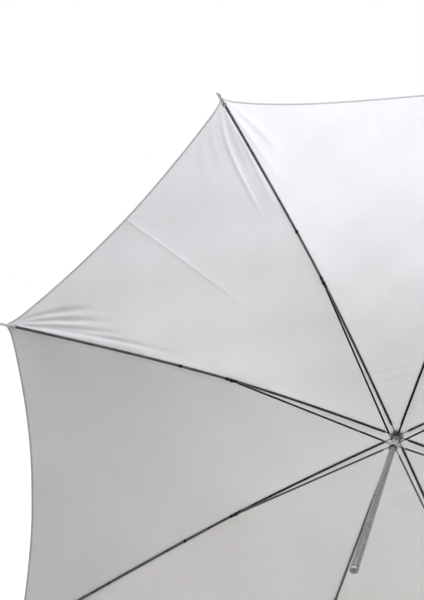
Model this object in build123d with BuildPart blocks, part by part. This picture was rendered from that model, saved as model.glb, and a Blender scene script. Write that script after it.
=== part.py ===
"""Umbrella reflector for a studio light: eight sprung channel ribs, eight stretchers and a sliding runner
on a plain round shaft, under an eight-gore canopy.

Millimetres. The shaft lies along Y with its free end at the origin. The canopy is at the +Y end and
opens towards -Y. +Z is up. Ribs stand every 45 degrees, the first at 22.5 degrees from +X towards +Z.
"""

import os
from math import atan2, cos, degrees, hypot, radians, sin

from build123d import *

# ---------------------------------------------------------------- main sizes
RIB_COUNT = 8
PITCH = 360 / RIB_COUNT            # angle between neighbouring ribs
HALF_PITCH = PITCH / 2
CANOPY_RADIUS = 505.0              # axis to the end of a rib, open
CROWN_Y = 680.0                    # height of the crown's wire ring above the shaft's free end
FOLD_ANGLE = 66.0                  # how far a rib turns from open to closed
CUT_PAST = 1.0                     # how far a cut runs past the face it opens

# rib centre line: straight-ish to the joint, bent most at the joint, straight again at the tip
HUB_SLOPE = 0.01                   # slope of the rib where it leaves the crown
BEND = 1.45                        # greatest curvature, as a share of one over the canopy radius
JOINT_SHARE = 0.48                 # where the stretcher meets the rib, as a share of the radius

RING_RADIUS = 6.5                  # both wire rings: axis to wire centre
WIRE_RADIUS = 0.5
EYE_HOLE_RADIUS = 0.58
EYE_RADIUS = 1.25
EYE_THICKNESS = 1.0
SLOT_WIDTH = 1.3
SLOT_FLOOR = 5.0                   # axis to the bottom of an eye's slot
SLOT_REACH = 9.0                   # past the outside of both hubs
WIRE_FIT = 0.05                    # play round a wire in its groove

RIB_WIDTH = 3.0
RIB_HEIGHT = 2.2
RIB_WALL = 0.5
RIB_START = 17.0                   # the channel begins here, its flattened eye is nearer the axis
RIB_HOLLOW_START = 21.0
RIB_END_WALL = 1.0
TONGUE_LAP = 2.0                   # overlap of a flattened end with the full channel
PIVOT_DROP = 3.0                   # rib centre line to the stretcher's pivot

STRETCHER_WIDTH = 2.4
STRETCHER_HEIGHT = 1.8
STRETCHER_WALL = 0.4
PIVOT_EYE_RADIUS = 1.5
PIVOT_EYE_THICKNESS = 1.6
EYE_LENGTH = 10.0                  # flattened length at each end of a stretcher
STRETCHER_END_WALL = 2.0
STRETCHER_TONGUE_LAP = 1.0

RIVET_RADIUS = 0.8
RIVET_FIT = 0.05                   # running clearance of the stretcher on its rivet
RIVET_HEAD_RADIUS = 1.4
RIVET_HEAD_HEIGHT = 0.5

BRACKET_LENGTH = 16.0
BRACKET_WALL = 0.4
BRACKET_GAP = 0.05                 # so the clip and the rib touch without sharing metal
BRACKET_EAR_LENGTH = 5.0
BRACKET_BRIDGE = 3.0

TIP_SOCKET_RADIUS = 3.0
TIP_SOCKET_LENGTH = 4.0
TIP_NECK_RADIUS = 2.0
TIP_SHOULDER = 1.5                 # length of the cone between socket and neck
TIP_LENGTH = 18.0                  # beyond the end of the rib
TIP_DROP = 1.3                     # tip axis below the rib's centre line, so it clears the cloth
TIP_FIT = 0.03

SHAFT_RADIUS = 4.0
SHAFT_BORE = 3.4
SHAFT_TOP = CROWN_Y + 9.0
GRIP_LENGTH = 150.0                # plain wall an umbrella holder clamps, up to the stop groove
GROOVE_WIDTH = 1.2
GROOVE_DEPTH = 0.2

CROWN_RADIUS = 7.4
CROWN_BELOW = 4.5                  # crown body towards the opening, from its wire
CROWN_ABOVE = 1.6
CROWN_ROOF = 0.2                   # thickness left over the slots
SPIGOT_RADIUS = 5.5
SPIGOT_TOP = 10.0
CROWN_FIT = 0.02
CROWN_PIN_RADIUS = 0.9
CROWN_PIN_HEIGHT = 5.0

RUNNER_RADIUS = 7.0
RUNNER_FIT = 0.06
RUNNER_ABOVE = 4.0                 # runner collar towards the crown, from its wire
RUNNER_BELOW = 4.5
RUNNER_SLOT_DEPTH = 1.6            # slots reach this far below the runner's wire
SLEEVE_RADIUS = 6.4
SLEEVE_END = 26.0                  # sleeve end, from the wire towards the free end
NOSE_DEPTH = 5.0                   # the sleeve's mouth, wide enough to show a gap round the shaft
NOSE_BORE = 5.2
NOSE_TAPER = 8                     # degrees
SLEEVE_ROUNDING = 0.6
WINDOW_WIDTH = 3.0
WINDOW_FROM = 7.5
WINDOW_TO = 22.5

CATCH_WIDTH = 2.0
CATCH_LENGTH = 19.0
CATCH_RAMP = 13.0
CATCH_NOSE = 1.0                   # flat at the top of the ramp
CATCH_OUT = 6.0                    # axis to the top of the catch's steep face
CATCH_IN = 3.1                     # axis to the outside of its leaf, inside the bore
CATCH_THICKNESS = 0.7
CATCH_GAP = 0.3                    # play between a catch and the runner it holds
CATCH_SLOT_WIDTH = 2.3

STOP_PIN_RADIUS = 0.8
STOP_PIN_HALF_LENGTH = 5.4
STOP_PIN_GAP = 0.2
PIN_END_GAP = 0.1                  # the crown's pin stops this far inside the spigot's surface

FABRIC_THICKNESS = 0.5
FABRIC_GAP = 0.75                  # over the middle of a rib; the taut cloth closes down on its edges
FABRIC_HOLE = 6.2
HEM_CORNER = 508.0                 # axis to a corner of the cloth, sewn over the rib's tip
HEM_DIP = 13.0                     # how far the hem curves in between two ribs
SEAM_GAP = 0.15                    # half the gap left between neighbouring gores
CLOTH_SPARE = 3.0                  # cloth beyond its outline, before it is cut
CLOTH_STEPS = 14

WASHER_RADIUS = 9.0
WASHER_THICKNESS = 1.0
WASHER_GAP = 0.1
CAP_RADIUS = 7.2
CAP_HEIGHT = 15.0
CAP_FIT = 0.03
CAP_ROUNDING = 5.0
CAP_ROOM = 0.5                     # above the spigot, inside the cap

PLUG_HEAD_RADIUS = 3.6             # narrower than the shaft, so a holder slides on over it
PLUG_HEAD_HEIGHT = 2.5
PLUG_LENGTH = 12.0
PLUG_ROUNDING = 1.5


# ---------------------------------------------------------------- shape of a rib and its linkage
def rib_depth(r):
    """Depth of the rib's centre line below the crown wire, at radius r."""
    s = r / CANOPY_RADIUS
    if s < JOINT_SHARE:
        depth = HUB_SLOPE * s + BEND * s**3 / (6 * JOINT_SHARE)
    else:
        past = s - JOINT_SHARE
        at_joint = HUB_SLOPE * JOINT_SHARE + BEND * JOINT_SHARE**2 / 6
        slope = HUB_SLOPE + BEND * JOINT_SHARE / 2
        outer = past**2 / 2 - past**3 / (6 * (1 - JOINT_SHARE))
        depth = at_joint + slope * past + BEND * outer
    return CANOPY_RADIUS * depth


def rib_angle(r):
    """Angle of the rib's centre line to the radial direction, in radians."""
    return atan2(rib_depth(r + 1) - rib_depth(r - 1), 2)


def off_rib(r, offset):
    """Point at a distance from the centre line: positive towards the inside of the umbrella."""
    a = rib_angle(r)
    return r - offset * sin(a), rib_depth(r) + offset * cos(a)


def radii(start, stop, steps):
    return [start + (stop - start) * i / steps for i in range(steps + 1)]


JOINT_RADIUS = JOINT_SHARE * CANOPY_RADIUS
PIVOT_R, PIVOT_DEPTH = off_rib(JOINT_RADIUS, PIVOT_DROP)
LINK_LENGTH = hypot(PIVOT_R - RING_RADIUS, PIVOT_DEPTH)
LINK_ANGLE = atan2(PIVOT_DEPTH, PIVOT_R - RING_RADIUS)
RUNNER_DEPTH = 2 * PIVOT_DEPTH     # equal links, so the runner is twice as deep as the pivot
RUNNER_Y = CROWN_Y - RUNNER_DEPTH
CLOSED_RUNNER_Y = CROWN_Y - 2 * LINK_LENGTH * sin(LINK_ANGLE + radians(FOLD_ANGLE))

# heights of what sits on the shaft
OPEN_CATCH_FACE = RUNNER_Y - SLEEVE_END - CATCH_GAP
CLOSED_CATCH_FACE = CLOSED_RUNNER_Y - WINDOW_TO + CATCH_GAP
STOP_PIN_Y = RUNNER_Y + RUNNER_ABOVE + STOP_PIN_GAP + STOP_PIN_RADIUS
CROWN_PIN_Y = CROWN_Y + CROWN_PIN_HEIGHT
CLOTH_TOP = CROWN_Y + RIB_HEIGHT / 2 + FABRIC_GAP + FABRIC_THICKNESS


def rib_plane(azimuth):
    """Plane holding the shaft axis and a rib: x runs out along the radius, y runs down from the crown."""
    a = radians(azimuth)
    return Plane(origin=(0, CROWN_Y, 0), x_dir=(cos(a), 0, sin(a)), z_dir=(sin(a), 0, -cos(a)))


def pivot_plane(azimuth, r, depth):
    """Plane parallel to the rib's, centred on a pivot of the linkage."""
    base = rib_plane(azimuth)
    return Plane(origin=base.from_local_coords((r, depth, 0)), x_dir=base.x_dir, z_dir=base.z_dir)


def along_shaft(y):
    """Plane across the shaft at y, whose normal points to the crown."""
    return Plane(origin=(0, y, 0), x_dir=(1, 0, 0), z_dir=(0, 1, 0))


def across_shaft(y):
    """Plane along the shaft at height y, whose normal is +X: the direction of the cross pins."""
    return Plane(origin=(0, y, 0), x_dir=(0, 1, 0), z_dir=(1, 0, 0))


def band_edges(start, stop, inner, outer, steps=10):
    """Outline of a strip that follows the rib between two radii and two offsets from its centre line."""
    near = [off_rib(r, inner) for r in radii(start, stop, steps)]
    far = [off_rib(r, outer) for r in radii(start, stop, steps)]
    Spline(*near)
    Spline(*far)
    Line(near[0], far[0])
    Line(near[-1], far[-1])


# ---------------------------------------------------------------- ribs
def make_rib(azimuth):
    plane = rib_plane(azimuth)
    half = RIB_HEIGHT / 2
    with BuildPart() as rib:
        # channel, open towards the inside of the umbrella
        with BuildSketch(plane) as side:
            with BuildLine():
                band_edges(RIB_START, CANOPY_RADIUS, -half, half)
            make_face()
        extrude(side.sketch, amount=RIB_WIDTH / 2, both=True)
        with BuildSketch(plane) as hollow:
            with BuildLine():
                stop = CANOPY_RADIUS - RIB_END_WALL
                band_edges(RIB_HOLLOW_START, stop, -half + RIB_WALL, half + CUT_PAST)
            make_face()
        extrude(hollow.sketch, amount=RIB_WIDTH / 2 - RIB_WALL, both=True, mode=Mode.SUBTRACT)
        # flattened end with its eye
        root = RIB_START + TONGUE_LAP
        with BuildSketch(plane) as tongue:
            with BuildLine():
                Polyline(
                    (RING_RADIUS, -EYE_RADIUS),
                    (root, rib_depth(root) - half),
                    (root, rib_depth(root) + half),
                    (RING_RADIUS, EYE_RADIUS),
                    close=True,
                )
            make_face()
            with Locations((RING_RADIUS, 0)):
                Circle(EYE_RADIUS)
                Circle(EYE_HOLE_RADIUS, mode=Mode.SUBTRACT)
        extrude(tongue.sketch, amount=EYE_THICKNESS / 2, both=True)
    return rib.part


def make_bracket(azimuth):
    """Folded clip around the rib, whose two ears carry the stretcher's rivet."""
    plane = rib_plane(azimuth)
    start = JOINT_RADIUS - BRACKET_LENGTH / 2
    stop = JOINT_RADIUS + BRACKET_LENGTH / 2
    half = RIB_HEIGHT / 2
    lip = half + BRACKET_GAP
    inside = RIB_WIDTH / 2 + BRACKET_GAP
    below_ears = PIVOT_DROP + 2 * PIVOT_EYE_RADIUS
    with BuildPart() as bracket:
        with BuildSketch(plane) as cheeks:
            with BuildLine():
                band_edges(start, stop, -half, lip + BRACKET_WALL, steps=3)
            make_face()
            with BuildLine():
                Polyline(
                    off_rib(JOINT_RADIUS - BRACKET_EAR_LENGTH, half),
                    off_rib(JOINT_RADIUS + BRACKET_EAR_LENGTH, half),
                    off_rib(JOINT_RADIUS + PIVOT_EYE_RADIUS, PIVOT_DROP + PIVOT_EYE_RADIUS),
                    off_rib(JOINT_RADIUS - PIVOT_EYE_RADIUS, PIVOT_DROP + PIVOT_EYE_RADIUS),
                    close=True,
                )
            make_face()
        extrude(cheeks.sketch, amount=inside + BRACKET_WALL, both=True)
        # room for the rib, and for the stretcher's eye between the ears
        with BuildSketch(plane) as room:
            with BuildLine():
                band_edges(start - CUT_PAST, stop + CUT_PAST, -half - CUT_PAST, below_ears, steps=3)
            make_face()
        extrude(room.sketch, amount=inside, both=True, mode=Mode.SUBTRACT)
        # bridge over the open side of the channel at each end of the clip
        for edge in (start, stop - BRACKET_BRIDGE):
            with BuildSketch(plane) as bridge:
                with BuildLine():
                    band_edges(edge, edge + BRACKET_BRIDGE, lip, lip + BRACKET_WALL, steps=2)
                make_face()
            extrude(bridge.sketch, amount=inside + BRACKET_WALL, both=True)
        with BuildSketch(pivot_plane(azimuth, PIVOT_R, PIVOT_DEPTH)) as hole:
            Circle(RIVET_RADIUS + BRACKET_GAP)
        extrude(hole.sketch, amount=RIB_WIDTH * 2, both=True, mode=Mode.SUBTRACT)
    return bracket.part


def make_rivet(azimuth):
    outside = RIB_WIDTH / 2 + BRACKET_GAP * 2 + BRACKET_WALL
    plane = pivot_plane(azimuth, PIVOT_R, PIVOT_DEPTH)
    with BuildPart() as rivet:
        with BuildSketch(plane) as pin:
            Circle(RIVET_RADIUS)
        extrude(pin.sketch, amount=outside, both=True)
        for side in (1, -1):
            with BuildSketch(plane.offset(side * outside)) as head:
                Circle(RIVET_HEAD_RADIUS)
            extrude(head.sketch, amount=side * RIVET_HEAD_HEIGHT)
        fillet(rivet.edges().filter_by(GeomType.CIRCLE).group_by(SortBy.RADIUS)[-1], RIVET_HEAD_HEIGHT / 3)
    return rivet.part


def make_stretcher(azimuth):
    """Channel strut from the rib's joint to the runner, with a flattened eye at each end."""
    pivot = pivot_plane(azimuth, PIVOT_R, PIVOT_DEPTH)
    # x runs from the pivot along the strut to the runner
    plane = Plane(
        origin=pivot.origin,
        x_dir=rib_plane(azimuth).from_local_coords((RING_RADIUS, RUNNER_DEPTH, 0)) - pivot.origin,
        z_dir=pivot.z_dir,
    )
    half = STRETCHER_HEIGHT / 2
    from_x = EYE_LENGTH
    to_x = LINK_LENGTH - EYE_LENGTH
    lap = STRETCHER_TONGUE_LAP
    with BuildPart() as stretcher:
        with BuildSketch(plane) as side:
            with Locations(((from_x + to_x) / 2, 0)):
                Rectangle(to_x - from_x, STRETCHER_HEIGHT)
        extrude(side.sketch, amount=STRETCHER_WIDTH / 2, both=True)
        # hollow on the side away from the rib
        with BuildSketch(plane) as hollow:
            with Locations(((from_x + to_x) / 2, -STRETCHER_WALL)):
                Rectangle(to_x - from_x - 2 * STRETCHER_END_WALL, STRETCHER_HEIGHT)
        extrude(hollow.sketch, amount=STRETCHER_WIDTH / 2 - STRETCHER_WALL, both=True, mode=Mode.SUBTRACT)
        ends = (
            (0, from_x + lap, PIVOT_EYE_RADIUS, RIVET_RADIUS + RIVET_FIT, PIVOT_EYE_THICKNESS),
            (LINK_LENGTH, to_x - lap, EYE_RADIUS, EYE_HOLE_RADIUS, EYE_THICKNESS),
        )
        for eye_x, root_x, eye_radius, hole_radius, thickness in ends:
            with BuildSketch(plane) as tongue:
                with BuildLine():
                    Polyline(
                        (eye_x, -eye_radius),
                        (root_x, -half),
                        (root_x, half),
                        (eye_x, eye_radius),
                        close=True,
                    )
                make_face()
                with Locations((eye_x, 0)):
                    Circle(eye_radius)
                    Circle(hole_radius, mode=Mode.SUBTRACT)
            extrude(tongue.sketch, amount=thickness / 2, both=True)
    return stretcher.part


def make_rib_tip(azimuth):
    """Plastic cap pushed over the end of the channel: a fat socket, then a thin round-ended neck."""
    plane = rib_plane(azimuth)
    angle = rib_angle(CANOPY_RADIUS)
    r, depth = off_rib(CANOPY_RADIUS, TIP_DROP)
    end = plane.from_local_coords((r, depth, 0))
    beyond = plane.from_local_coords((r + cos(angle), depth + sin(angle), 0))
    side = Plane(origin=end, x_dir=beyond - end, z_dir=plane.z_dir)
    with BuildPart() as tip:
        with BuildSketch(side) as profile:
            with BuildLine():
                Polyline(
                    (-TIP_SOCKET_LENGTH, 0),
                    (-TIP_SOCKET_LENGTH, TIP_SOCKET_RADIUS),
                    (0, TIP_SOCKET_RADIUS),
                    (TIP_SHOULDER, TIP_NECK_RADIUS),
                    (TIP_LENGTH - TIP_NECK_RADIUS, TIP_NECK_RADIUS),
                )
                RadiusArc(
                    (TIP_LENGTH - TIP_NECK_RADIUS, TIP_NECK_RADIUS),
                    (TIP_LENGTH, 0),
                    TIP_NECK_RADIUS,
                )
                Line((TIP_LENGTH, 0), (-TIP_SOCKET_LENGTH, 0))
            make_face()
        revolve(profile.sketch, axis=Axis(end, beyond - end))
        # socket for the rib, shaped like the outside of the channel
        with BuildSketch(plane) as socket:
            with BuildLine():
                reach = RIB_HEIGHT / 2 + TIP_FIT
                start = CANOPY_RADIUS - 2 * TIP_SOCKET_LENGTH
                band_edges(start, CANOPY_RADIUS + TIP_FIT, -reach, reach)
            make_face()
        extrude(socket.sketch, amount=RIB_WIDTH / 2 + TIP_FIT, both=True, mode=Mode.SUBTRACT)
    return tip.part


# ---------------------------------------------------------------- canopy
def make_gore(azimuth):
    """One gore of cloth, stretched straight across between two ribs, lying on their outer faces.

    The azimuth is that of the middle of the gore.
    """
    plane = rib_plane(azimuth)
    inner = -RIB_HEIGHT / 2 - FABRIC_GAP
    outer = inner - FABRIC_THICKNESS
    shrink = cos(radians(HALF_PITCH))
    half_chord = HEM_CORNER * sin(radians(HALF_PITCH))
    corner = HEM_CORNER * shrink

    def cloth_edge(offset):
        along = radii(FABRIC_HOLE - CUT_PAST, HEM_CORNER + CLOTH_SPARE, CLOTH_STEPS)
        points = [off_rib(r, offset) for r in along]
        return [(r * shrink, depth) for r, depth in points]

    with BuildPart() as gore:
        with BuildSketch(plane) as section:
            with BuildLine():
                near = cloth_edge(inner)
                far = cloth_edge(outer)
                Spline(*near)
                Spline(*far)
                Line(near[0], far[0])
                Line(near[-1], far[-1])
            make_face()
        extrude(section.sketch, amount=half_chord + CLOTH_SPARE, both=True)
        # outline seen along the shaft: two straight seams, a round hole at the hub and a hem that dips
        flat = Plane(origin=(0, CROWN_Y - 2 * CANOPY_RADIUS, 0), x_dir=plane.x_dir, z_dir=(0, 1, 0))
        with BuildSketch(flat) as outline:
            with BuildLine():
                apex = SEAM_GAP / sin(radians(HALF_PITCH))
                hem_start = (corner, half_chord - SEAM_GAP)
                hem_middle = (corner - HEM_DIP, 0)
                hem_end = (corner, -half_chord + SEAM_GAP)
                Line((apex, 0), hem_start)
                ThreePointArc(hem_start, hem_middle, hem_end)
                Line(hem_end, (apex, 0))
            make_face()
            Circle(FABRIC_HOLE, mode=Mode.SUBTRACT)
        extrude(outline.sketch, amount=4 * CANOPY_RADIUS, mode=Mode.INTERSECT)
    return gore.part


# ---------------------------------------------------------------- shaft and what is fixed to it
# x runs up the shaft and y points out of it towards -Z, the side both catches are on
CATCH_SIDE = Plane(origin=(0, 0, 0), x_dir=(0, 1, 0), z_dir=(-1, 0, 0))


def make_catch(face_y, direction):
    """Leaf spring catch. Its steep face is at face_y and its ramp runs away from there along direction."""
    with BuildPart() as catch:
        with BuildSketch(CATCH_SIDE) as side:
            with BuildLine():
                Polyline(
                    (face_y, CATCH_IN - CATCH_THICKNESS),
                    (face_y, CATCH_OUT),
                    (face_y + direction * CATCH_NOSE, CATCH_OUT),
                    (face_y + direction * CATCH_RAMP, CATCH_IN),
                    (face_y + direction * CATCH_LENGTH, CATCH_IN),
                    (face_y + direction * CATCH_LENGTH, CATCH_IN - CATCH_THICKNESS),
                    close=True,
                )
            make_face()
        extrude(side.sketch, amount=CATCH_WIDTH / 2, both=True)
    return catch.part


def make_shaft():
    with BuildPart() as shaft:
        with BuildSketch(along_shaft(0)) as ring:
            Circle(SHAFT_RADIUS)
            Circle(SHAFT_BORE, mode=Mode.SUBTRACT)
        extrude(ring.sketch, amount=SHAFT_TOP)
        # shallow rolled groove at the end of the grip
        with BuildSketch(along_shaft(GRIP_LENGTH)) as groove:
            Circle(SHAFT_RADIUS + CUT_PAST)
            Circle(SHAFT_RADIUS - GROOVE_DEPTH, mode=Mode.SUBTRACT)
        extrude(groove.sketch, amount=GROOVE_WIDTH, mode=Mode.SUBTRACT)
        # a slot for each catch
        for face, direction in ((OPEN_CATCH_FACE, -1), (CLOSED_CATCH_FACE, 1)):
            with BuildSketch(CATCH_SIDE) as slot:
                middle = face + direction * (CATCH_RAMP / 2 - CATCH_GAP / 2)
                with Locations((middle, SHAFT_RADIUS)):
                    Rectangle(CATCH_RAMP + CATCH_GAP, SHAFT_RADIUS)
            extrude(slot.sketch, amount=CATCH_SLOT_WIDTH / 2, both=True, mode=Mode.SUBTRACT)
        # cross holes for the stop pin and the crown's pin
        for height, radius in ((STOP_PIN_Y, STOP_PIN_RADIUS), (CROWN_PIN_Y, CROWN_PIN_RADIUS)):
            with BuildSketch(across_shaft(height)) as hole:
                Circle(radius + CROWN_FIT)
            extrude(hole.sketch, amount=SHAFT_RADIUS * 2, both=True, mode=Mode.SUBTRACT)
    return shaft.part


def make_cross_pin(height, radius, half_length):
    with BuildPart() as pin:
        with BuildSketch(across_shaft(height)) as section:
            Circle(radius)
        extrude(section.sketch, amount=half_length, both=True)
        chamfer(pin.edges().filter_by(GeomType.CIRCLE), radius / 4)
    return pin.part


def make_end_plug():
    with BuildPart() as plug:
        with BuildSketch(along_shaft(0)) as body:
            Circle(SHAFT_BORE - CROWN_FIT)
        extrude(body.sketch, amount=PLUG_LENGTH)
        with BuildSketch(along_shaft(0)) as head:
            Circle(PLUG_HEAD_RADIUS)
        extrude(head.sketch, amount=-PLUG_HEAD_HEIGHT)
        fillet(plug.faces().sort_by(Axis.Y)[0].edges(), PLUG_ROUNDING)
    return plug.part


def cut_eye_slots(y_from, y_to):
    """Eight slots for the eyes, and the groove their wire ring lies in. Used inside a part's own block."""
    with BuildSketch(along_shaft(y_from)) as slots:
        for i in range(RIB_COUNT):
            a = radians(HALF_PITCH + i * PITCH)
            middle = (SLOT_FLOOR + SLOT_REACH) / 2
            with Locations(Location((middle * cos(a), -middle * sin(a)), -degrees(a))):
                Rectangle(SLOT_REACH - SLOT_FLOOR, SLOT_WIDTH)
    extrude(slots.sketch, amount=y_to - y_from, mode=Mode.SUBTRACT)


def cut_wire_groove(y):
    half = WIRE_RADIUS + WIRE_FIT
    with BuildSketch(along_shaft(y - half)) as groove:
        Circle(SLOT_REACH)
        Circle(RING_RADIUS - half, mode=Mode.SUBTRACT)
    extrude(groove.sketch, amount=2 * half, mode=Mode.SUBTRACT)


def make_crown():
    """Notched hub at the top of the shaft. Its slots open towards the free end, the way the ribs fold."""
    with BuildPart() as crown:
        with BuildSketch(along_shaft(CROWN_Y - CROWN_BELOW)) as body:
            Circle(CROWN_RADIUS)
        extrude(body.sketch, amount=CROWN_BELOW + CROWN_ABOVE)
        with BuildSketch(along_shaft(CROWN_Y)) as spigot:
            Circle(SPIGOT_RADIUS)
        extrude(spigot.sketch, amount=SPIGOT_TOP)
        with BuildSketch(along_shaft(CROWN_Y - CROWN_BELOW)) as bore:
            Circle(SHAFT_RADIUS + CROWN_FIT)
        extrude(bore.sketch, amount=SPIGOT_TOP + CROWN_BELOW, mode=Mode.SUBTRACT)
        cut_eye_slots(CROWN_Y - CROWN_BELOW - CUT_PAST, CROWN_Y + CROWN_ABOVE - CROWN_ROOF)
        cut_wire_groove(CROWN_Y)
        with BuildSketch(across_shaft(CROWN_PIN_Y)) as hole:
            Circle(CROWN_PIN_RADIUS + CROWN_FIT)
        extrude(hole.sketch, amount=CROWN_RADIUS, both=True, mode=Mode.SUBTRACT)
    return crown.part


def make_runner():
    """Sliding collar. Its slots open towards the crown, and its sleeve has the catches' window."""
    with BuildPart() as runner:
        with BuildSketch(along_shaft(RUNNER_Y - RUNNER_BELOW)) as collar:
            Circle(RUNNER_RADIUS)
        extrude(collar.sketch, amount=RUNNER_BELOW + RUNNER_ABOVE)
        with BuildSketch(along_shaft(RUNNER_Y - SLEEVE_END)) as sleeve:
            Circle(SLEEVE_RADIUS)
        extrude(sleeve.sketch, amount=SLEEVE_END)
        fillet(runner.faces().sort_by(Axis.Y)[0].edges().filter_by(GeomType.CIRCLE), SLEEVE_ROUNDING)
        with BuildSketch(along_shaft(RUNNER_Y - SLEEVE_END)) as bore:
            Circle(SHAFT_RADIUS + RUNNER_FIT)
        extrude(bore.sketch, amount=SLEEVE_END + RUNNER_ABOVE, mode=Mode.SUBTRACT)
        with BuildSketch(along_shaft(RUNNER_Y - SLEEVE_END)) as nose:
            Circle(NOSE_BORE)
        extrude(nose.sketch, amount=NOSE_DEPTH, taper=NOSE_TAPER, mode=Mode.SUBTRACT)
        with BuildSketch(CATCH_SIDE) as window:
            with Locations((RUNNER_Y - (WINDOW_FROM + WINDOW_TO) / 2, SLEEVE_RADIUS)):
                Rectangle(WINDOW_TO - WINDOW_FROM, SLEEVE_RADIUS)
        extrude(window.sketch, amount=WINDOW_WIDTH / 2, both=True, mode=Mode.SUBTRACT)
        cut_eye_slots(RUNNER_Y - RUNNER_SLOT_DEPTH, RUNNER_Y + RUNNER_ABOVE + CUT_PAST)
        cut_wire_groove(RUNNER_Y)
    return runner.part


def make_wire_ring(y):
    with BuildPart() as ring:
        with BuildSketch(Plane.XY) as section:
            with Locations((RING_RADIUS, y)):
                Circle(WIRE_RADIUS)
        revolve(section.sketch, axis=Axis.Y)
    return ring.part


def make_washer():
    """Disc that presses the middle of the cloth down on the crown."""
    with BuildPart() as washer:
        with BuildSketch(along_shaft(CLOTH_TOP + WASHER_GAP)) as disc:
            Circle(WASHER_RADIUS)
            Circle(SPIGOT_RADIUS + CAP_FIT, mode=Mode.SUBTRACT)
        extrude(disc.sketch, amount=WASHER_THICKNESS)
        fillet(washer.faces().sort_by(Axis.Y)[-1].edges().group_by(SortBy.RADIUS)[-1], WASHER_THICKNESS / 2)
    return washer.part


def make_cap():
    """Ferrule over the end of the shaft."""
    base = CLOTH_TOP + WASHER_GAP + WASHER_THICKNESS + CAP_FIT
    with BuildPart() as cap:
        with BuildSketch(along_shaft(base)) as outside:
            Circle(CAP_RADIUS)
        extrude(outside.sketch, amount=CAP_HEIGHT)
        fillet(cap.faces().sort_by(Axis.Y)[-1].edges(), CAP_ROUNDING)
        with BuildSketch(along_shaft(base)) as inside:
            Circle(SPIGOT_RADIUS + CAP_FIT)
        extrude(inside.sketch, amount=CROWN_Y + SPIGOT_TOP + CAP_ROOM - base, mode=Mode.SUBTRACT)
    return cap.part


# ---------------------------------------------------------------- all the pieces
os.makedirs("parts", exist_ok=True)


def save(name, part):
    part.label = name
    export_step(part, f"parts/{name}.step")


for number in range(1, RIB_COUNT + 1):
    rib_azimuth = HALF_PITCH + (number - 1) * PITCH
    save(f"rib_{number}", make_rib(rib_azimuth))
    save(f"joint_clip_{number}", make_bracket(rib_azimuth))
    save(f"joint_rivet_{number}", make_rivet(rib_azimuth))
    save(f"stretcher_{number}", make_stretcher(rib_azimuth))
    save(f"rib_tip_{number}", make_rib_tip(rib_azimuth))
    save(f"canopy_gore_{number}", make_gore(rib_azimuth + HALF_PITCH))

save("shaft_tube", make_shaft())
save("shaft_end_plug", make_end_plug())
save("crown", make_crown())
save("crown_wire", make_wire_ring(CROWN_Y))
save("crown_pin", make_cross_pin(CROWN_PIN_Y, CROWN_PIN_RADIUS, SPIGOT_RADIUS - PIN_END_GAP))
save("canopy_washer", make_washer())
save("canopy_cap", make_cap())
save("runner", make_runner())
save("runner_wire", make_wire_ring(RUNNER_Y))
save("runner_stop_pin", make_cross_pin(STOP_PIN_Y, STOP_PIN_RADIUS, STOP_PIN_HALF_LENGTH))
save("open_catch", make_catch(OPEN_CATCH_FACE, -1))
save("closed_catch", make_catch(CLOSED_CATCH_FACE, 1))
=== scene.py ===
"""Looks for the umbrella reflector: cloth, metals, plastics, thread, floor, light and camera.

Metres, in the frame of the CAD: the shaft lies along Y with its free end at the origin, the canopy opens
towards -Y, and +Z is up.
"""

from collections import namedtuple
from math import atan2, cos, pi, radians, sin, tan

import bpy
import numpy as np
from mathutils import Euler, Matrix, Vector


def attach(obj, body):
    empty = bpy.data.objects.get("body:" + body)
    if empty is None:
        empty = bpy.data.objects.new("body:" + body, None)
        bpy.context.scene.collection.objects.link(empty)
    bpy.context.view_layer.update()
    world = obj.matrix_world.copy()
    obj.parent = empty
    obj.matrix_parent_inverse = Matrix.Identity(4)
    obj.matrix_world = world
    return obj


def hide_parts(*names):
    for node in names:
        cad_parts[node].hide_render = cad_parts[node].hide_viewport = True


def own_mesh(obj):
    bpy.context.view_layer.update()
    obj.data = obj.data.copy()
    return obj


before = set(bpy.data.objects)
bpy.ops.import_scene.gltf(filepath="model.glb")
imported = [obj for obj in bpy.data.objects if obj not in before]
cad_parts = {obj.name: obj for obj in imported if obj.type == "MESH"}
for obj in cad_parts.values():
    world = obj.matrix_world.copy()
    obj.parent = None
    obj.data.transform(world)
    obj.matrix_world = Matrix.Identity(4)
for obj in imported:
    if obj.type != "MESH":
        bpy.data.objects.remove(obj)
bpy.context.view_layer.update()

# ---------------------------------------------------------------- sizes shared with the CAD
RIB_COUNT = 8
PITCH = radians(360 / RIB_COUNT)
HALF_PITCH = PITCH / 2
CANOPY_RADIUS = 0.505
HEM_CORNER = 0.508
CROWN_Y = 0.680
HUB_SLOPE = 0.01                   # of a rib where it leaves the hub
BEND = 1.45                        # how sharply a rib is bent at its joint clip
JOINT_SHARE = 0.48                 # where the joint clip stands, as a share of the rib's length
RIB_HALF_HEIGHT = 0.0011
RIB_HALF_WIDTH = 0.0015
RING_RADIUS = 0.0065               # of the crown wire on which the ribs turn
CLOTH_START = 0.0062               # edge of the round hole in the middle of the cloth
CLOTH_LIFT = 0.0016                # cloth above the rib's centre line

rng = np.random.default_rng(43)


def rib_azimuth(k):
    """Azimuth of rib k, counted from 1, from +X towards +Z."""
    return HALF_PITCH + (k - 1) * PITCH


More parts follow.
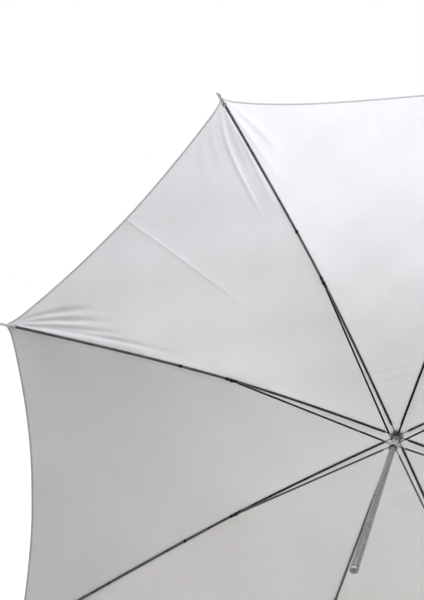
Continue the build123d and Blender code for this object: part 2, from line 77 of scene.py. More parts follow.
def rib_depth(r):
    """Depth of the rib's centre line below the crown wire."""
    s = np.asarray(r, float) / CANOPY_RADIUS
    past = np.maximum(s - JOINT_SHARE, 0)
    inner = HUB_SLOPE * s + BEND * s**3 / (6 * JOINT_SHARE)
    at_joint = HUB_SLOPE * JOINT_SHARE + BEND * JOINT_SHARE**2 / 6
    slope = HUB_SLOPE + BEND * JOINT_SHARE / 2
    outer = at_joint + slope * past + BEND * (past**2 / 2 - past**3 / (6 * (1 - JOINT_SHARE)))
    return CANOPY_RADIUS * np.where(s < JOINT_SHARE, inner, outer)


def rib_slope(r):
    step = 0.001
    return (rib_depth(r + step) - rib_depth(r - step)) / (2 * step)


def smooth(x):
    x = np.clip(x, 0, 1)
    return x * x * (3 - 2 * x)


# ---------------------------------------------------------------- node materials
def new_material(name):
    mat = bpy.data.materials.new(name)
    mat.use_nodes = True
    mat.node_tree.nodes.clear()
    return mat, mat.node_tree.nodes, mat.node_tree.links


def put(nodes, kind, **values):
    """New node, with its inputs and properties set by name."""
    node = nodes.new(kind)
    for key, value in values.items():
        label = key.replace("_", " ")
        if label in node.inputs:
            node.inputs[label].default_value = value
        else:
            setattr(node, key, value)
    return node


def ramp(nodes, *stops):
    node = nodes.new("ShaderNodeValToRGB")
    elements = node.color_ramp.elements
    while len(elements) < len(stops):
        elements.new(0.5)
    for element, (position, value) in zip(elements, stops):
        element.position = position
        element.color = (value, value, value, 1) if isinstance(value, (int, float)) else (*value, 1)
    return node


def material_output(nodes, links, shader):
    links.new(shader.outputs[0], put(nodes, "ShaderNodeOutputMaterial").inputs["Surface"])


def multiply(nodes, links, a, b):
    """Node with the product of two colours."""
    node = put(nodes, "ShaderNodeMix", data_type="RGBA", blend_type="MULTIPLY")
    node.inputs["Factor"].default_value = 1.0
    links.new(a, node.inputs["A"])
    links.new(b, node.inputs["B"])
    return node


def part_through(nodes, links, body, glow, share):
    """Shader that sends the given share of the light through."""
    mix = put(nodes, "ShaderNodeMixShader")
    mix.inputs["Fac"].default_value = share
    links.new(body.outputs["BSDF"], mix.inputs[1])
    links.new(glow.outputs["BSDF"], mix.inputs[2])
    return mix


OUTSIDE_SHADE_SHARE = 0.62               # painted shade: the outer face's colour as a share of the inside's
DARKEST_BLOTCH = 0.955             # of the cloth's colour
DARKEST_THREAD = 0.965


def cloth_material(name, tint, through):
    """Thin white nylon with painted shade on its outer face: plain weave, soft blotches, and some light
    passing through.
    """
    mat, nodes, links = new_material(name)
    uv = put(nodes, "ShaderNodeUVMap", uv_map="UVMap")
    place = put(nodes, "ShaderNodeTexCoord")

    blotch = put(nodes, "ShaderNodeTexNoise", Scale=9.0, Detail=4.0, Roughness=0.55)
    links.new(place.outputs["Object"], blotch.inputs["Vector"])
    slub = put(nodes, "ShaderNodeTexNoise", Scale=1.0, Detail=2.0)
    stretch = put(nodes, "ShaderNodeMapping", Scale=(900.0, 60.0, 1.0))
    links.new(uv.outputs["UV"], stretch.inputs["Vector"])
    links.new(stretch.outputs["Vector"], slub.inputs["Vector"])

    colours = ramp(nodes, (0.30, tuple(DARKEST_BLOTCH * c for c in tint)), (0.70, tint))
    links.new(blotch.outputs["Fac"], colours.inputs["Fac"])
    threads = ramp(nodes, (0.25, DARKEST_THREAD), (0.75, 1.0))
    links.new(slub.outputs["Fac"], threads.inputs["Fac"])
    colour = multiply(nodes, links, colours.outputs["Color"], threads.outputs["Color"])

    # plain weave: warp and weft waves, three threads to the millimetre
    warp = put(nodes, "ShaderNodeTexWave", wave_type="BANDS", bands_direction="X", Scale=1500.0)
    weft = put(nodes, "ShaderNodeTexWave", wave_type="BANDS", bands_direction="Y", Scale=1500.0)
    links.new(uv.outputs["UV"], warp.inputs["Vector"])
    links.new(uv.outputs["UV"], weft.inputs["Vector"])
    weave = put(nodes, "ShaderNodeMath", operation="MAXIMUM")
    links.new(warp.outputs["Fac"], weave.inputs[0])
    links.new(weft.outputs["Fac"], weave.inputs[1])
    fine = put(nodes, "ShaderNodeBump", Strength=0.12, Distance=0.0001)
    links.new(weave.outputs["Value"], fine.inputs["Height"])
    # slight puckering of taut cloth
    pucker = put(nodes, "ShaderNodeTexNoise", Scale=60.0, Detail=3.0)
    links.new(place.outputs["Object"], pucker.inputs["Vector"])
    soft = put(nodes, "ShaderNodeBump", Strength=0.10, Distance=0.0015)
    links.new(pucker.outputs["Fac"], soft.inputs["Height"])
    links.new(fine.outputs["Normal"], soft.inputs["Normal"])

    face = put(nodes, "ShaderNodeBsdfPrincipled", Roughness=0.52)
    face.inputs["Sheen Weight"].default_value = 0.25
    face.inputs["Sheen Roughness"].default_value = 0.4
    face.inputs["Specular IOR Level"].default_value = 0.35
    # the mesh's front is the outside of the canopy, whose colour is darkened there as painted shade
    side = put(nodes, "ShaderNodeNewGeometry")
    outside = put(nodes, "ShaderNodeMath", operation="SUBTRACT")
    outside.inputs[0].default_value = 1.0
    links.new(side.outputs["Backfacing"], outside.inputs[1])
    # painted shade: the outer face's colour is multiplied down
    outer_face_shade = put(nodes, "ShaderNodeMix", data_type="RGBA", blend_type="MULTIPLY")
    outer_face_shade.inputs["B"].default_value = (OUTSIDE_SHADE_SHARE, OUTSIDE_SHADE_SHARE, OUTSIDE_SHADE_SHARE, 1)
    links.new(outside.outputs["Value"], outer_face_shade.inputs["Factor"])
    links.new(colour.outputs["Result"], outer_face_shade.inputs["A"])
    links.new(outer_face_shade.outputs["Result"], face.inputs["Base Color"])
    links.new(soft.outputs["Normal"], face.inputs["Normal"])
    glow = put(nodes, "ShaderNodeBsdfTranslucent")
    links.new(colour.outputs["Result"], glow.inputs["Color"])
    links.new(soft.outputs["Normal"], glow.inputs["Normal"])
    material_output(nodes, links, part_through(nodes, links, face, glow, through))
    return mat


def metal_material(
    name, base, worn, roughness, metallic=1.0, grain=(40.0, 900.0, 900.0), wear=0.35, streak_and_edge_shade=0.0
):
    """Drawn or plated metal: fine grain, patchy roughness, rubbed spots, lengthwise streaks along Y that are
    partly drawing marks and partly painted reflection, and painted shade on edges.
    """
    mat, nodes, links = new_material(name)
    place = put(nodes, "ShaderNodeTexCoord")
    stretch = put(nodes, "ShaderNodeMapping", Scale=grain)
    links.new(place.outputs["Object"], stretch.inputs["Vector"])
    lines = put(nodes, "ShaderNodeTexNoise", Scale=1.0, Detail=3.0)
    links.new(stretch.outputs["Vector"], lines.inputs["Vector"])
    patches = put(nodes, "ShaderNodeTexNoise", Scale=70.0, Detail=5.0, Roughness=0.65)
    links.new(place.outputs["Object"], patches.inputs["Vector"])
    rubbed = ramp(nodes, (0.5 - wear / 4, 0.0), (0.5 + wear / 2, 1.0))
    links.new(patches.outputs["Fac"], rubbed.inputs["Fac"])
    colour = put(nodes, "ShaderNodeMix", data_type="RGBA")
    colour.inputs["A"].default_value = (*base, 1)
    colour.inputs["B"].default_value = (*worn, 1)
    links.new(rubbed.outputs["Color"], colour.inputs["Factor"])
    # lengthwise streaks of lighter and darker colour along the draw, partly drawing marks and partly painted
    # reflection, and painted shade on the edges that turn away from the light
    draw = put(nodes, "ShaderNodeMapping", Scale=(650.0, 4.0, 650.0))
    links.new(place.outputs["Object"], draw.inputs["Vector"])
    streak = put(nodes, "ShaderNodeTexNoise", Scale=1.0, Detail=1.0)
    links.new(draw.outputs["Vector"], streak.inputs["Vector"])
    marks = ramp(nodes, (0.35, 1 - streak_and_edge_shade), (0.65, 1.0))
    links.new(streak.outputs["Fac"], marks.inputs["Fac"])
    # painted shade: colour darkened where the surface turns edge-on
    turned = put(nodes, "ShaderNodeLayerWeight", Blend=0.5)
    edges = ramp(nodes, (0.45, 1.0), (0.95, 1 - streak_and_edge_shade))
    links.new(turned.outputs["Facing"], edges.inputs["Fac"])
    tone = multiply(nodes, links, marks.outputs["Color"], edges.outputs["Color"])
    drawn = multiply(nodes, links, colour.outputs["Result"], tone.outputs["Result"])
    shine = put(nodes, "ShaderNodeMapRange")
    shine.inputs["To Min"].default_value = roughness * 0.75
    shine.inputs["To Max"].default_value = roughness * 1.3
    links.new(patches.outputs["Fac"], shine.inputs["Value"])
    bump = put(nodes, "ShaderNodeBump", Strength=0.2, Distance=0.00008)
    links.new(lines.outputs["Fac"], bump.inputs["Height"])
    body = put(nodes, "ShaderNodeBsdfPrincipled", Metallic=metallic)
    links.new(drawn.outputs["Result"], body.inputs["Base Color"])
    links.new(shine.outputs["Result"], body.inputs["Roughness"])
    links.new(bump.outputs["Normal"], body.inputs["Normal"])
    material_output(nodes, links, body)
    return mat


def plastic_material(name, base, roughness, milky=0.0, through=0.0):
    """Moulded plastic: faint flow marks, fine grain, and some light scattered inside or let through."""
    mat, nodes, links = new_material(name)
    place = put(nodes, "ShaderNodeTexCoord")
    flow = put(nodes, "ShaderNodeTexNoise", Scale=120.0, Detail=3.0, Distortion=1.2)
    links.new(place.outputs["Object"], flow.inputs["Vector"])
    tone = ramp(nodes, (0.3, tuple(0.9 * c for c in base)), (0.7, base))
    links.new(flow.outputs["Fac"], tone.inputs["Fac"])
    grain = put(nodes, "ShaderNodeTexNoise", Scale=1800.0, Detail=2.0)
    links.new(place.outputs["Object"], grain.inputs["Vector"])
    bump = put(nodes, "ShaderNodeBump", Strength=0.15, Distance=0.00005)
    links.new(grain.outputs["Fac"], bump.inputs["Height"])
    body = put(nodes, "ShaderNodeBsdfPrincipled", Roughness=roughness)
    body.inputs["Subsurface Weight"].default_value = milky
    body.inputs["Subsurface Radius"].default_value = (1.0, 1.0, 1.0)
    body.inputs["Subsurface Scale"].default_value = 0.003
    links.new(tone.outputs["Color"], body.inputs["Base Color"])
    links.new(bump.outputs["Normal"], body.inputs["Normal"])
    glow = put(nodes, "ShaderNodeBsdfTranslucent")
    links.new(tone.outputs["Color"], glow.inputs["Color"])
    material_output(nodes, links, part_through(nodes, links, body, glow, through))
    return mat


def thread_material(name, base):
    """Twisted sewing thread."""
    mat, nodes, links = new_material(name)
    place = put(nodes, "ShaderNodeTexCoord")
    twist = put(nodes, "ShaderNodeTexWave", bands_direction="DIAGONAL", Scale=900.0, Distortion=2.0)
    links.new(place.outputs["Object"], twist.inputs["Vector"])
    # painted shade: the colour is darker along the grooves of the twist
    tone = ramp(nodes, (0.2, tuple(0.5 * c for c in base)), (0.8, base))
    links.new(twist.outputs["Fac"], tone.inputs["Fac"])
    bump = put(nodes, "ShaderNodeBump", Strength=0.5, Distance=0.0001)
    links.new(twist.outputs["Fac"], bump.inputs["Height"])
    body = put(nodes, "ShaderNodeBsdfPrincipled", Roughness=0.8)
    links.new(tone.outputs["Color"], body.inputs["Base Color"])
    links.new(bump.outputs["Normal"], body.inputs["Normal"])
    material_output(nodes, links, body)
    return mat


CLOTH = cloth_material("canopy_cloth", (0.93, 0.93, 0.945), through=0.45)
HEM = cloth_material("hem_cloth", (0.94, 0.94, 0.95), through=0.48)
RIB_STEEL = metal_material("rib_steel", (0.155, 0.155, 0.16), (0.26, 0.26, 0.27), 0.28)
STRUT_STEEL = metal_material("stretcher_steel", (0.18, 0.18, 0.185), (0.27, 0.27, 0.28), 0.25)
JOINT_BLACK = metal_material("joint_black", (0.02, 0.02, 0.022), (0.10, 0.10, 0.10), 0.45, metallic=0.6)
# the shaft gets lengthwise streaks that are partly painted reflection, and painted shade on its edges
SHAFT_STEEL = metal_material(
    "shaft_nickel", (0.46, 0.46, 0.465), (0.56, 0.56, 0.56), 0.26, grain=(900.0, 30.0, 900.0), streak_and_edge_shade=0.5
)
SPRING_STEEL = metal_material("spring_steel", (0.45, 0.45, 0.46), (0.60, 0.60, 0.60), 0.30)
TIP_PLASTIC = plastic_material("tip_plastic", (0.86, 0.86, 0.865), 0.35, milky=0.6, through=0.45)
HUB_PLASTIC = plastic_material("hub_plastic", (0.84, 0.84, 0.85), 0.35, milky=0.6, through=0.15)
# mid grey: partly the crown's own plastic and partly painted shade of the rib ends and wire gathered in it
CROWN_PLASTIC = plastic_material("crown_plastic", (0.50, 0.50, 0.51), 0.45, milky=0.3, through=0.15)
CAP_PLASTIC = plastic_material("cap_plastic", (0.85, 0.85, 0.85), 0.40, milky=0.2)
TIE_THREAD = thread_material("tie_thread", (0.03, 0.03, 0.03))

NODE_MATERIALS = (
    ("rib_tip", TIP_PLASTIC),
    ("rib_", RIB_STEEL),
    ("stretcher", STRUT_STEEL),
    ("joint_", JOINT_BLACK),
    ("shaft_tube", SHAFT_STEEL),
    ("shaft_end_plug", CAP_PLASTIC),
    ("canopy_cap", CAP_PLASTIC),
    ("canopy_washer", CAP_PLASTIC),
    ("runner_stop_pin", SPRING_STEEL),
    ("runner_wire", SPRING_STEEL),
    ("crown_wire", SPRING_STEEL),
    ("crown_pin", SPRING_STEEL),
    ("runner", HUB_PLASTIC),
    ("crown", CROWN_PLASTIC),
    ("open_catch", SPRING_STEEL),
    ("closed_catch", SPRING_STEEL),
)
for node_name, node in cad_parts.items():
    for prefix, material in NODE_MATERIALS:
        if node_name.startswith(prefix):
            node.data.materials.clear()
            node.data.materials.append(material)
            break

# ---------------------------------------------------------------- canopy
SAG = 0.006                        # cloth pulled in between the ribs, most about half way along
SAG_POWER = 0.85                   # under 1 moves the deepest place towards the hub
RADIAL_STEPS = 150
HELD_WIDTH = 0.012                 # beside a rib the cloth is held flat over this width

CREASE_DEPTH = 0.0011
CREASE_WIDTH = 0.004
CREASE_NEAR_HUB = 0.12             # share of the crease's depth that is left in its inner half
CREASE_RISE_START = 0.55           # where it gets deeper, as a share of the way from the hub to the hem
CREASE_RISE = 0.25
CREASE_FADE = 0.2                  # share of that way over which it starts at the hub
CREASE_SHARE = 0.6                 # how deep the crease down the middle of a gore is pressed
GORE_CREASE = {3: 1.0, 4: 0.3}     # the same, for the gores that differ

HEM_WIDTH = 0.0022
HEM_THICKNESS = 0.0005
# the hem is turned over towards the inside: how far back from the edge, and how much of its thickness
HEM_PROFILE = ((0.0, 0.0), (0.0002, 0.7), (0.0006, 1.0), (HEM_WIDTH - 0.0004, 1.0), (HEM_WIDTH, 0.25))
HEM_DIP = 0.012                    # how far a hem curves in between two ribs
CORNER_TAB = 0.0045                # the corners are drawn out to where they are sewn to the rib's cap
CORNER_TAB_WIDTH = 0.03            # as a share of half the hem
# panels cut a little differently: gore -> dip, and how much more it dips on the next rib's side
UNEVEN_HEMS = {2: (0.0034, 2.9), 3: (0.0120, 0.1), 4: (0.0172, 0.0)}

WAVE_DEPTH = 0.0005
WAVE_FADE = 0.3                    # share of the way from the hub to the hem over which the waves start
# slow unevenness of the cloth: waves per metre along and across a gore, and their strength
WAVES = ((37, 21, 1.0), (55, -43, 1.0), (90, 71, 0.6))

RIPPLE_DEPTH = 0.0005              # puckers in a ring round the hub
RIPPLE_RADIUS = 0.075
RIPPLE_SPREAD = 0.035
RIPPLE_LENGTH = 0.013
RIPPLE_SKEW = 90                   # radians per metre across the gore
RIPPLE_BREAK = 60                  # the same, for the weaker and stronger places along a pucker
RIPPLE_STEADY = 0.6

# A fold starts at a hem corner and curves round until it runs along the rib. spread is how far from the
# rib it settles, turn is the length over which it does, and depth is positive towards the inside.
Fold = namedtuple("Fold", "corner spread turn width depth length")
FOLD_NARROWEST = 0.45              # share of its width at the corner
FOLD_WIDENS = 0.060                # length over which it reaches its full width
FOLD_RISES = 0.018                 # length over which it reaches its full depth
FOLD_OFF_RIB = 0.005               # distance from the rib at which it is at its full depth
FOLDS_PER_CORNER = 4
TAUT_FOLDS = {
    2: (
        Fold(1, 0.045, 0.065, 0.0055, -0.0022, 0.100),
        Fold(1, 0.022, 0.110, 0.0036, -0.0014, 0.130),
    ),
    3: (
        Fold(-1, 0.0295, 0.038, 0.0022, -0.0021, 0.165),
        Fold(-1, 0.042, 0.022, 0.0040, -0.0010, 0.080),
        Fold(-1, 0.070, 0.034, 0.0050, -0.0008, 0.110),
        Fold(-1, 0.018, 0.065, 0.0035, -0.0013, 0.110),
        Fold(-1, 0.008, 0.030, 0.0020, -0.0016, 0.040),
        Fold(-1, 0.011, 0.110, 0.0030, -0.0011, 0.160),
        Fold(1, 0.073, 0.078, 0.0044, 0.0034, 0.090),
        Fold(1, 0.050, 0.085, 0.0038, 0.0034, 0.108),
        Fold(1, 0.040, 0.140, 0.0034, 0.0025, 0.135),
        Fold(1, 0.017, 0.080, 0.0032, 0.0022, 0.200),
    ),
    4: (
        Fold(-1, 0.030, 0.035, 0.0030, -0.0006, 0.090),
        Fold(-1, 0.060, 0.050, 0.0060, 0.0006, 0.090),
    ),
}


def random_fold(corner):
    return Fold(
        corner,
        spread=rng.uniform(0.012, 0.080),
        turn=rng.uniform(0.040, 0.100),
        width=rng.uniform(0.0030, 0.0050),
        depth=rng.uniform(0.0004, 0.0010) * rng.choice((-1, 1)),
        length=rng.uniform(0.080, 0.170),
    )


GORE_FOLDS = {}
for gore in range(1, RIB_COUNT + 1):
    if gore in TAUT_FOLDS:
        GORE_FOLDS[gore] = TAUT_FOLDS[gore]
    else:
        GORE_FOLDS[gore] = [random_fold(corner) for corner in (-1, 1) for _ in range(FOLDS_PER_CORNER)]
GORE_PHASE = {gore: rng.uniform(0, 2 * pi, 6) for gore in range(1, RIB_COUNT + 1)}


def crease_depth(gore, across, along):
    """How far the crease down the middle of a gore stands out; it is strongest towards the hem."""
    strength = CREASE_NEAR_HUB + (1 - CREASE_NEAR_HUB) * smooth((along - CREASE_RISE_START) / CREASE_RISE)
    crease = np.exp(-np.abs(across) / CREASE_WIDTH) * strength
    return CREASE_DEPTH * GORE_CREASE.get(gore, CREASE_SHARE) * crease * smooth(along / CREASE_FADE)


def fold_depth(fold, out, across):
    """Depth of one fold. back is the way from its corner along the rib, aside the distance from the rib."""
    d_out = HEM_CORNER * cos(HALF_PITCH) - out
    d_across = HEM_CORNER * sin(HALF_PITCH) - fold.corner * across
    back = d_out * cos(HALF_PITCH) + d_across * sin(HALF_PITCH)
    aside = d_across * cos(HALF_PITCH) - d_out * sin(HALF_PITCH)
    line = fold.spread * (1 - np.exp(-np.maximum(back, 0) / fold.turn))
    width = fold.width * (FOLD_NARROWEST + (1 - FOLD_NARROWEST) * smooth(back / FOLD_WIDENS))
    shape = np.exp(-(((aside - line) / width) ** 2)) * width / fold.width
    rise = smooth(back / FOLD_RISES) * smooth((fold.length - back) / (0.5 * fold.length))
    return fold.depth * shape * rise * smooth(aside / FOLD_OFF_RIB)


def cloth_depth(gore, out, across):
    """Depth of a gore's cloth. out runs along its middle line, across is positive towards the next rib."""
    reach = np.maximum(out, 1e-6) * tan(HALF_PITCH)
    r = out / cos(HALF_PITCH)
    from_rib = reach - np.abs(across)
    share = np.abs(across) / reach
    along = np.clip(out / (HEM_CORNER * cos(HALF_PITCH)), 0, 1)
    depth = rib_depth(r) - CLOTH_LIFT * np.sqrt(1 + rib_slope(r) ** 2)
    depth = depth + SAG * np.sin(pi * along**SAG_POWER) * (1 - share**2)
    depth = depth - crease_depth(gore, across, along)
    for fold in GORE_FOLDS[gore]:
        depth = depth + fold_depth(fold, out, across)

    phase = GORE_PHASE[gore]
    waves = 0
    for (lengthwise, crosswise, strength), start in zip(WAVES, phase):
        waves = waves + strength * np.sin(lengthwise * out + crosswise * across + start)
    depth = depth + WAVE_DEPTH * waves * smooth(from_rib / HELD_WIDTH) * smooth(along / WAVE_FADE)

    near_hub = np.exp(-(((out - RIPPLE_RADIUS) / RIPPLE_SPREAD) ** 2))
    ripples = np.sin(2 * pi * out / RIPPLE_LENGTH + RIPPLE_SKEW * across + phase[3])
    ripples = ripples * (RIPPLE_STEADY + (1 - RIPPLE_STEADY) * np.sin(RIPPLE_BREAK * across + phase[4]))
    return depth + RIPPLE_DEPTH * ripples * near_hub * smooth(from_rib / (HELD_WIDTH / 2))


def hem_out(gore, across_share):
    """Distance of the hem from the axis, along the middle of a gore. The share runs -1 to 1, rib to rib."""
    dip, lean = UNEVEN_HEMS.get(gore, (HEM_DIP, 0))
    curve = dip * (1 - across_share**2) * (1 + lean * across_share)
    tab = CORNER_TAB * np.exp((np.abs(across_share) - 1) / CORNER_TAB_WIDTH)
    return HEM_CORNER * cos(HALF_PITCH) - curve + tab


def gore_points(gore, out, across, lower=0.0):
    """World points on a gore's cloth, lowered towards the inside of the umbrella."""
    middle = rib_azimuth(gore) + HALF_PITCH
    x = out * cos(middle) - across * sin(middle)
    z = out * sin(middle) + across * cos(middle)
    y = CROWN_Y - cloth_depth(gore, out, across) - lower
    return np.stack([x, y, z], axis=-1)


def grid_faces(rows, columns, start=0, flip=False):
    faces = []
    for i in range(rows - 1):
        for j in range(columns - 1):
            a = start + i * columns + j
            face = (a, a + 1, a + columns + 1, a + columns)
            faces.append(face[::-1] if flip else face)
    return faces


def mesh_piece(name, points, faces, uvs, materials, face_materials=None):
    mesh = bpy.data.meshes.new(name)
    mesh.from_pydata([tuple(p) for p in points], [], faces)
    layer = mesh.uv_layers.new(name="UVMap")
    index = np.empty(len(mesh.loops), int)
    mesh.loops.foreach_get("vertex_index", index)
    layer.data.foreach_set("uv", np.asarray(uvs, float)[index].ravel())
    for material in materials:
        mesh.materials.append(material)
    if face_materials is not None:
        mesh.polygons.foreach_set("material_index", face_materials)
    mesh.polygons.foreach_set("use_smooth", [True] * len(mesh.polygons))
    mesh.update()
    obj = bpy.data.objects.new(name, mesh)
    bpy.context.scene.collection.objects.link(obj)
    return obj


# A gore is drawn as three strips that meet edge to edge. When the umbrella closes, the side strips
# gather against their ribs, and the leaf-shaped middle strip, which turns with the gore, spans what is left.
CLOSED_ANGLE = radians(66)
SIDE_KEEP = 0.10                   # share of a side strip's width that is left at the closed ribs
MIDDLE_LAP = 0.03                  # extra width of the middle strip, as a share of half the gore
MIDDLE_LEAST = 0.04                # limits of its width, as shares of the gore
MIDDLE_MOST = 0.96
SIDE_COLUMNS = 72
MIDDLE_COLUMNS = 49
ALONG = np.linspace(0, 1, RADIAL_STEPS)[:, None] ** 0.8
CROWDING = 1.3                     # columns stand closer beside a rib and beside the crease
SIDE_SPREAD = np.linspace(0, 1, SIDE_COLUMNS)[None, :] ** CROWDING
EVEN = np.linspace(-1, 1, MIDDLE_COLUMNS)[None, :]
MIDDLE_SPREAD = np.sign(EVEN) * np.abs(EVEN) ** CROWDING


def middle_share(along):
    """Share of half a gore's width that belongs to its middle strip."""
    r = CLOTH_START + along * (HEM_CORNER - CLOTH_START)
    closed = RING_RADIUS + (r - RING_RADIUS) * cos(CLOSED_ANGLE) - rib_depth(r) * sin(CLOSED_ANGLE)
    needed = (closed / r - SIDE_KEEP) / (1 - SIDE_KEEP)
    return np.clip(needed + MIDDLE_LAP, MIDDLE_LEAST, MIDDLE_MOST)


def strip(name, gore, share):
    """Strip of a gore with its turned hem. share has a row for each step from the hub to the hem."""
    columns = share.shape[1]
    flip = share[0, 0] > share[0, -1]
    start = CLOTH_START * cos(HALF_PITCH)
    edge = hem_out(gore, share)
    out = start + ALONG * (edge - start)
    across = share * out * tan(HALF_PITCH)
    points = [gore_points(gore, out, across).reshape(-1, 3)]
    uvs = [np.stack([across, out], -1).reshape(-1, 2)]
    faces = grid_faces(RADIAL_STEPS, columns, flip=flip)
    sheet_faces = len(faces)

    hem_rows = []
    hem_uvs = []
    for back, height in HEM_PROFILE:
        hem = edge[-1] - back
        hem_across = share[-1] * hem * tan(HALF_PITCH)
        hem_rows.append(gore_points(gore, hem, hem_across, lower=height * HEM_THICKNESS))
        hem_uvs.append(np.stack([hem_across, hem], -1))
    faces += grid_faces(len(HEM_PROFILE), columns, start=len(points[0]), flip=flip)
    points.append(np.concatenate(hem_rows))
    uvs.append(np.concatenate(hem_uvs))
    which = [0] * sheet_faces + [1] * (len(faces) - sheet_faces)
    return mesh_piece(name, np.concatenate(points), faces, np.concatenate(uvs), (CLOTH, HEM), which)


def canopy_piece(piece, gore, body):
    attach(piece, body)
    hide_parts(f"canopy_gore_{gore}")


MIDDLE = middle_share(ALONG)
for rib in range(1, RIB_COUNT + 1):
    for side, gore in ((1, rib), (-1, (rib - 2) % RIB_COUNT + 1)):
        name = f"canopy_side_{rib}_{'next' if side > 0 else 'last'}"
        piece = strip(name, gore, -side * (1 - (1 - MIDDLE) * SIDE_SPREAD))
        canopy_piece(piece, gore, f"rib_{rib}")
        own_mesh(piece)
for gore in range(1, RIB_COUNT + 1):
    piece = strip(f"canopy_middle_{gore}", gore, MIDDLE * MIDDLE_SPREAD)
    canopy_piece(piece, gore, f"gore_{gore}")

# ---------------------------------------------------------------- seams and thread ties on the ribs
SEAM_START = 0.02                  # distance from the axis
SEAM_STEPS = 120
SEAM_COLUMNS = (-1.0, -0.92, -0.5, 0.0, 0.5, 0.92, 1.0)
SEAM_HALF_WIDTH = 0.0021
SEAM_UNEVEN = 0.12                 # share by which the width of a seam varies
SEAM_WAVE = 700                    # radians per metre
SEAM_DROP = 0.0002                 # below the cloth
SEAM_EDGE_DROP = 0.3               # share of the drop at its edges
TIE_RADIUS = 0.315                 # distance of a tie from the axis
TIE_UNEVEN = 0.004
TIE_RADII = {3: 0.3206, 4: 0.3099}
TIE_TURNS = 5
TIE_STEPS = 16                     # points to a turn
TIE_THREAD_RADIUS = 0.00032
TIE_STANDOFF = 0.00035             # from the rib's surface to the middle of the thread
TIE_PITCH = 0.00065
TIE_FLATNESS = 1.25                # over 1 flattens the sides of a turn


def rib_frame(rib, r):
    """Point on a rib's centre line, and its unit vectors along, across and out of the umbrella."""
    a = rib_azimuth(rib)
    radial = np.array([cos(a), 0, sin(a)])
    across = np.array([-sin(a), 0, cos(a)])
    up = np.array([0.0, 1.0, 0.0])
    slope = atan2(float(rib_slope(r)), 1)
    along = radial * cos(slope) - up * sin(slope)
    outward = radial * sin(slope) + up * cos(slope)
    return radial * r + up * (CROWN_Y - float(rib_depth(r))), along, across, outward


def seam(rib):
    """The two turned-in edges of the sewn gores, lying between the cloth and the rib."""
    rows = []
    uvs = []
    for r in np.linspace(SEAM_START, CANOPY_RADIUS, SEAM_STEPS):
        centre, _, across, outward = rib_frame(rib, r)
        uneven = 1 + SEAM_UNEVEN * sin(r * SEAM_WAVE + rib)
        for w in SEAM_COLUMNS:
            offset = w * SEAM_HALF_WIDTH * uneven
            # the taut gores fall away on both sides of the rib
            fall = abs(offset) * tan(HALF_PITCH) * float(rib_slope(r)) * cos(HALF_PITCH)
            drop = SEAM_DROP * (SEAM_EDGE_DROP if abs(w) == 1 else 1.0)
            lift = CLOTH_LIFT - drop - fall
            rows.append(centre + across * offset + outward * lift)
            uvs.append((offset, r))
    faces = grid_faces(SEAM_STEPS, len(SEAM_COLUMNS))
    return mesh_piece(f"seam_{rib}", rows, faces, uvs, (HEM,))


def tie(rib):
    """A few turns of black thread that hold the seam to the rib."""
    r = TIE_RADII.get(rib, TIE_RADIUS + TIE_UNEVEN * sin(rib * 2.1))
    centre, along, across, outward = rib_frame(rib, r)
    half_width = RIB_HALF_WIDTH + TIE_STANDOFF
    half_height = RIB_HALF_HEIGHT + TIE_STANDOFF
    curve = bpy.data.curves.new(f"tie_{rib}", "CURVE")
    curve.dimensions = "3D"
    curve.bevel_depth = TIE_THREAD_RADIUS
    curve.bevel_resolution = 2
    spline = curve.splines.new("NURBS")
    spline.points.add(TIE_TURNS * TIE_STEPS - 1)
    for i in range(TIE_TURNS * TIE_STEPS):
        a = 2 * pi * i / TIE_STEPS
        # a rounded rectangle round the channel
        w = half_width * np.clip(TIE_FLATNESS * cos(a), -1, 1)
        h = half_height * np.clip(TIE_FLATNESS * sin(a), -1, 1)
        p = centre + across * w + outward * h + along * (i / TIE_STEPS - TIE_TURNS / 2) * TIE_PITCH
        spline.points[i].co = (*p, 1)
    curve.materials.append(TIE_THREAD)
    obj = bpy.data.objects.new(f"tie_{rib}", curve)
    bpy.context.scene.collection.objects.link(obj)
    return obj


for rib in range(1, RIB_COUNT + 1):
    for piece, slot in ((seam(rib), "canopy"), (tie(rib), "joint")):
        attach(piece, f"rib_{rib}")

# ---------------------------------------------------------------- floor, light and camera
FLOOR_Z = -0.62
FLOOR_REACH = 12.0
FLOOR_GLOW = 1.0
WORLD_FILL = 0.03


def floor_material():
    mat, nodes, links = new_material("floor_paint")
    place = put(nodes, "ShaderNodeTexCoord")
    noise = put(nodes, "ShaderNodeTexNoise", Scale=3.0, Detail=3.0)
    links.new(place.outputs["Object"], noise.inputs["Vector"])
    tone = ramp(nodes, (0.3, (0.93, 0.88, 0.82)), (0.7, (0.96, 0.91, 0.85)))
    links.new(noise.outputs["Fac"], tone.inputs["Fac"])
    body = put(nodes, "ShaderNodeBsdfPrincipled", Roughness=0.9)
    body.inputs["Emission Color"].default_value = (1, 1, 1, 1)
    # a sheet of paper lit to near white, without throwing that light back on the umbrella
    path = put(nodes, "ShaderNodeLightPath")
    lit = put(nodes, "ShaderNodeMath", operation="MULTIPLY")
    lit.inputs[1].default_value = FLOOR_GLOW
    links.new(path.outputs["Is Camera Ray"], lit.inputs[0])
    links.new(lit.outputs["Value"], body.inputs["Emission Strength"])
    links.new(tone.outputs["Color"], body.inputs["Base Color"])
    material_output(nodes, links, body)
    return mat


floor_mesh = bpy.data.meshes.new("floor")
floor_corners = ((-1, -1), (1, -1), (1, 1), (-1, 1))
floor_mesh.from_pydata(
    [(x * FLOOR_REACH, y * FLOOR_REACH, FLOOR_Z) for x, y in floor_corners], [], [(0, 1, 2, 3)]
)
floor_mesh.materials.append(floor_material())
floor = bpy.data.objects.new("floor", floor_mesh)
bpy.context.scene.collection.objects.link(floor)

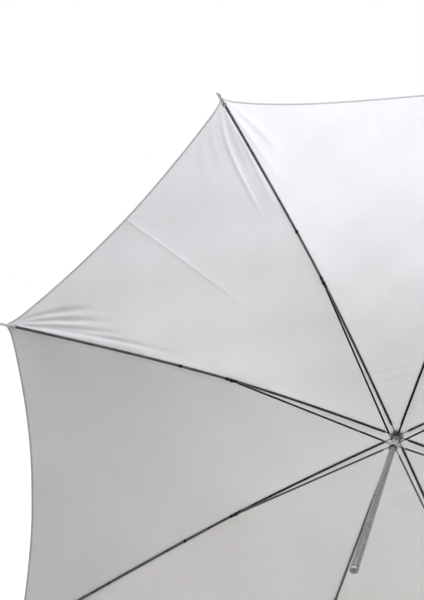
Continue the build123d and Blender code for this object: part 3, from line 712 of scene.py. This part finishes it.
world = bpy.data.worlds.new("studio")
bpy.context.scene.world = world
world.use_nodes = True
nodes, links = world.node_tree.nodes, world.node_tree.links
nodes.clear()
seen = put(nodes, "ShaderNodeBackground", Strength=1.0)
seen.inputs["Color"].default_value = (1, 1, 1, 1)
fill = put(nodes, "ShaderNodeBackground", Strength=WORLD_FILL)
fill.inputs["Color"].default_value = (1, 1, 1, 1)
path = put(nodes, "ShaderNodeLightPath")
choose = put(nodes, "ShaderNodeMixShader")
links.new(path.outputs["Is Camera Ray"], choose.inputs["Fac"])
links.new(fill.outputs["Background"], choose.inputs[1])
links.new(seen.outputs["Background"], choose.inputs[2])
world_out = put(nodes, "ShaderNodeOutputWorld")
links.new(choose.outputs["Shader"], world_out.inputs["Surface"])

MIDDLE_OF_OBJECT = (0, 0.6, 0)
SOFTBOX = 1.2                      # side of a softbox


def softbox(name, place, power, colour=(1, 1, 1)):
    data = bpy.data.lights.new(name, "AREA")
    data.shape = "SQUARE"
    data.size = SOFTBOX
    data.energy = power
    data.color = colour
    obj = bpy.data.objects.new(name, data)
    obj.location = place
    aim = Vector(MIDDLE_OF_OBJECT) - Vector(place)
    obj.rotation_euler = aim.to_track_quat("-Z", "Y").to_euler()
    bpy.context.scene.collection.objects.link(obj)


softbox("top_softbox", (0.0, 0.6, 1.7), 39.5, (0.985, 0.983, 1.026))
softbox("high_back_softbox", (0.0, 1.9, 1.1), 12.9, (0.88, 1.0, 1.12))
softbox("back_softbox", (0.0, 2.2, 0.0), 11.6, (1.08, 1.01, 0.88))
softbox("front_fill", (1.5, -1.4, 0.3), 2.2)

# The camera stands in front of the opening, a little above and to the right of the axis. Its picture is
# shifted, so that the upper left of the canopy fills it.
SENSOR = 36                        # millimetres, along the longer side of the picture
LENS = 81.102                      # millimetres
SHIFT_RIGHT = -0.55933             # as shares of the longer side of the picture
SHIFT_UP = -0.19417
CAMERA_PLACE = (0.1221, -1.2483, 0.3425)
CAMERA_TURN = (90.2512, 1.9232, -3.0772)     # degrees round X, Y and Z

camera_data = bpy.data.cameras.new("camera")
camera_data.sensor_fit = "AUTO"
camera_data.sensor_width = SENSOR
camera_data.lens = LENS
camera_data.clip_start = 0.01
camera = bpy.data.objects.new("camera", camera_data)
turn = Euler([radians(angle) for angle in CAMERA_TURN]).to_matrix()
camera.matrix_world = Matrix.Translation(CAMERA_PLACE) @ turn.to_4x4()
bpy.context.scene.collection.objects.link(camera)
bpy.context.scene.camera = camera


def shift_in_place(setting, value):
    """Shifts the picture only while the camera stands at its own place, so every other view is centred."""
    driver = camera_data.driver_add(setting).driver
    place = driver.variables.new()
    place.name = "x"
    place.type = "TRANSFORMS"
    place.targets[0].id = camera
    place.targets[0].transform_type = "LOC_X"
    driver.expression = f"{value} if abs(x - {CAMERA_PLACE[0]}) < 0.0001 else 0"


shift_in_place("shift_x", SHIFT_RIGHT)
shift_in_place("shift_y", SHIFT_UP)
bpy.context.scene.view_settings.view_transform = "Standard"
